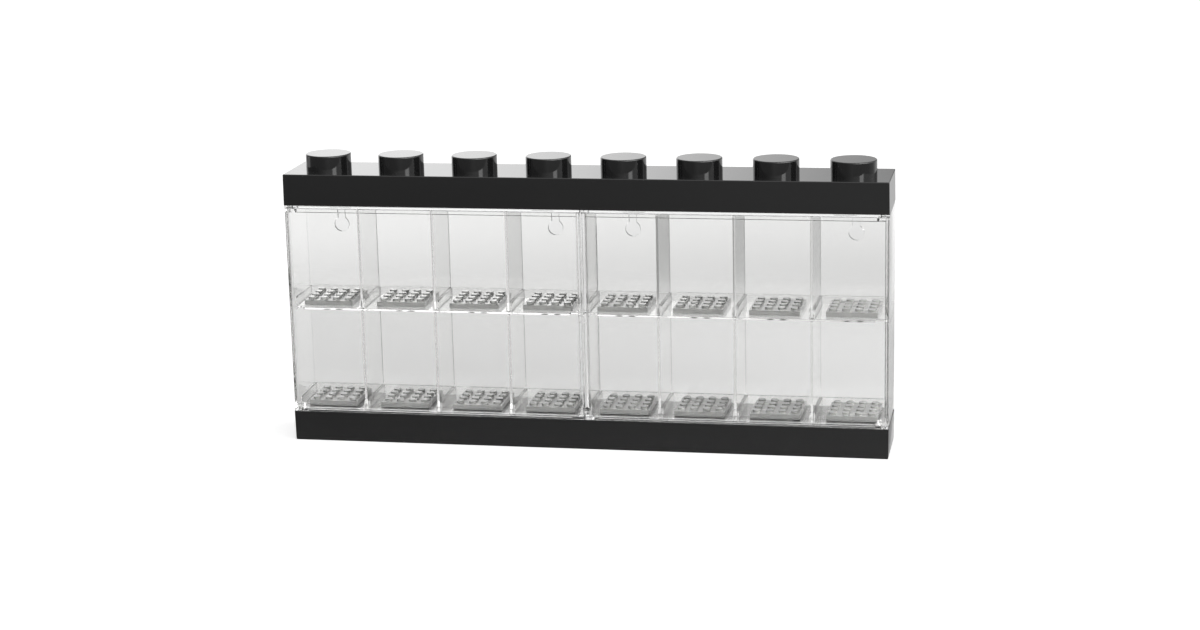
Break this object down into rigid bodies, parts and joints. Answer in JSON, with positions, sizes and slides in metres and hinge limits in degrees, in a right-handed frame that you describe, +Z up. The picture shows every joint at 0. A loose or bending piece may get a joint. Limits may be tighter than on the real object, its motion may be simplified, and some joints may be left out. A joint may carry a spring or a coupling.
{
  "type": "minifigure display case",
  "caption": "Display case for small toy figures: clear compartments with stud plates behind two hinged doors, between a black base and a black studded cap.",
  "frame": {"origin": "middle of the case's footprint, on the surface it stands on", "axes": "+X along the case to the viewer's right, +Y to its back, +Z up through the studs; the doors face -Y"},
  "size_m": [0.382, 0.047, 0.184],
  "materials": {
    "black_plastic": "moulded, gloss",
    "clear_plastic": "clear moulded polystyrene, polished",
    "grey_plastic": "moulded, gloss"
  },
  "bodies": {
    "case": {"base": "black_plastic", "top_cap": "black_plastic", "shell_left": "clear_plastic", "shell_right": "clear_plastic", "floor_tray_left": "clear_plastic", "floor_tray_right": "clear_plastic", "shelf_tray_left": "clear_plastic", "shelf_tray_right": "clear_plastic", "divider_lower_1": "clear_plastic", "divider_lower_2": "clear_plastic", "divider_lower_3": "clear_plastic", "divider_lower_4": "clear_plastic", "divider_lower_5": "clear_plastic", "divider_lower_6": "clear_plastic", "plate_lower_1": "grey_plastic", "plate_lower_2": "grey_plastic", "plate_lower_3": "grey_plastic", "plate_lower_4": "grey_plastic", "plate_lower_5": "grey_plastic", "plate_lower_6": "grey_plastic", "plate_lower_7": "grey_plastic", "plate_lower_8": "grey_plastic", "divider_upper_1": "clear_plastic", "divider_upper_2": "clear_plastic", "divider_upper_3": "clear_plastic", "divider_upper_4": "clear_plastic", "divider_upper_5": "clear_plastic", "divider_upper_6": "clear_plastic", "plate_upper_1": "grey_plastic", "plate_upper_2": "grey_plastic", "plate_upper_3": "grey_plastic", "plate_upper_4": "grey_plastic", "plate_upper_5": "grey_plastic", "plate_upper_6": "grey_plastic", "plate_upper_7": "grey_plastic", "plate_upper_8": "grey_plastic"},
    "left_door": {"door_left": "clear_plastic"},
    "right_door": {"door_right": "clear_plastic"}
  },
  "joints": [
    {"name": "left_door_hinge", "type": "hinge", "parent": "case", "child": "left_door", "pos_m": [-0.187, -0.0205, 0.08685], "axis": [0, 0, -1], "range_deg": [0, 170]},
    {"name": "right_door_hinge", "type": "hinge", "parent": "case", "child": "right_door", "pos_m": [0.187, -0.0205, 0.08685], "axis": [0, 0, 1], "range_deg": [0, 170]}
  ]
}
